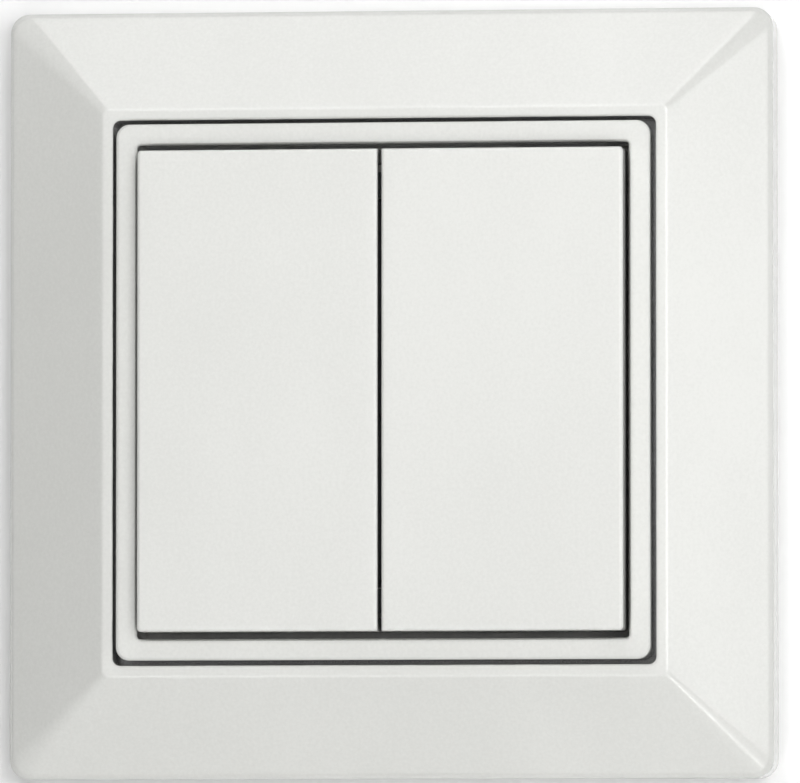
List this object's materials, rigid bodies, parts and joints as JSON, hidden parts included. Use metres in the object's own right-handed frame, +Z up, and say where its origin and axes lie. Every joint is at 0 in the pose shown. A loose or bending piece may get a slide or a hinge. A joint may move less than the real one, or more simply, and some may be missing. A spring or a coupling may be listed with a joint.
{
  "type": "wireless light switch",
  "caption": "Square wall-mounted wireless light switch with two side-by-side rockers in a slanted frame, powered by the press of a rocker.",
  "frame": {"origin": "centre of the wall face, the plane that lies on the wall", "axes": "+Z up the wall, +X to the right as seen from the room, +Y into the wall, so the rockers face -Y"},
  "size_m": [0.08, 0.015, 0.08],
  "materials": {
    "white_gloss_plastic": "smooth glossy off-white moulded plastic",
    "white_plate_plastic": "matt off-white moulded plastic",
    "dark_module_plastic": "fine spark-eroded anthracite plastic",
    "grey_bow_plastic": "satin mid-grey glass-filled plastic",
    "grey_silicone": "soft matt silicone",
    "carbon_rubber": "conductive carbon-filled rubber",
    "green_board": "green solder resist over glass-epoxy board",
    "black_epoxy": "moulded black epoxy",
    "nickel_can": "bright nickel plating",
    "ochre_epoxy": "moulded ochre epoxy",
    "brass_wire": "tinned and bare brass",
    "black_bobbin_plastic": "black glass-filled plastic",
    "enamelled_copper": "fine enamelled copper wire, wound in layers",
    "soft_iron": "annealed soft iron sheet",
    "spring_steel": "rolled spring steel strip"
  },
  "bodies": {
    "wall_unit": {"outer_frame": "white_gloss_plastic", "intermediate_frame": "white_gloss_plastic", "mounting_plate": "white_plate_plastic", "module_housing": "dark_module_plastic", "module_cover": "dark_module_plastic", "contact_mat": "grey_silicone", "contact_pills": "carbon_rubber", "circuit_board": "green_board", "radio_chip": "black_epoxy", "clock_crystal": "nickel_can", "storage_capacitors": "ochre_epoxy", "antenna_wire": "brass_wire", "coil_pins": "brass_wire", "harvester_frame": "grey_bow_plastic", "coil_bobbin": "black_bobbin_plastic", "coil_winding": "enamelled_copper", "iron_core": "soft_iron"},
    "left_rocker": {"left_rocker": "white_gloss_plastic"},
    "right_rocker": {"right_rocker": "white_gloss_plastic"},
    "bow": {"energy_bow": "grey_bow_plastic"},
    "armature": {"magnet": "nickel_can", "upper_pole_plate": "soft_iron", "lower_pole_plate": "soft_iron", "magnet_carrier": "black_bobbin_plastic", "leaf_spring": "spring_steel"}
  },
  "joints": [
    {"name": "left_rocker_tilt", "type": "hinge", "parent": "wall_unit", "child": "left_rocker", "pos_m": [0, -0.011, 0], "axis": [1, 0, 0], "range_deg": [-4.3, 4.3], "stiffness_Nm_per_rad": 0.06, "deforming": ["contact_mat"]},
    {"name": "right_rocker_tilt", "type": "hinge", "parent": "wall_unit", "child": "right_rocker", "pos_m": [0, -0.011, 0], "axis": [1, 0, 0], "range_deg": [-4.3, 4.3], "stiffness_Nm_per_rad": 0.06, "deforming": ["contact_mat"]},
    {"name": "bow_press", "type": "slide", "parent": "wall_unit", "child": "bow", "axis": [0, 1, 0], "range_m": [0, 0.0018], "stiffness_N_per_m": 400, "springref_m": -0.0005},
    {"name": "armature_flip", "type": "hinge", "parent": "wall_unit", "child": "armature", "pos_m": [0, -0.0049, 0], "axis": [0, 0, 1], "range_deg": [0, 5.58]}
  ],
  "couplings": [
    {"joint": "armature_flip", "follows": "bow_press", "rad_per_m": 54.075}
  ]
}
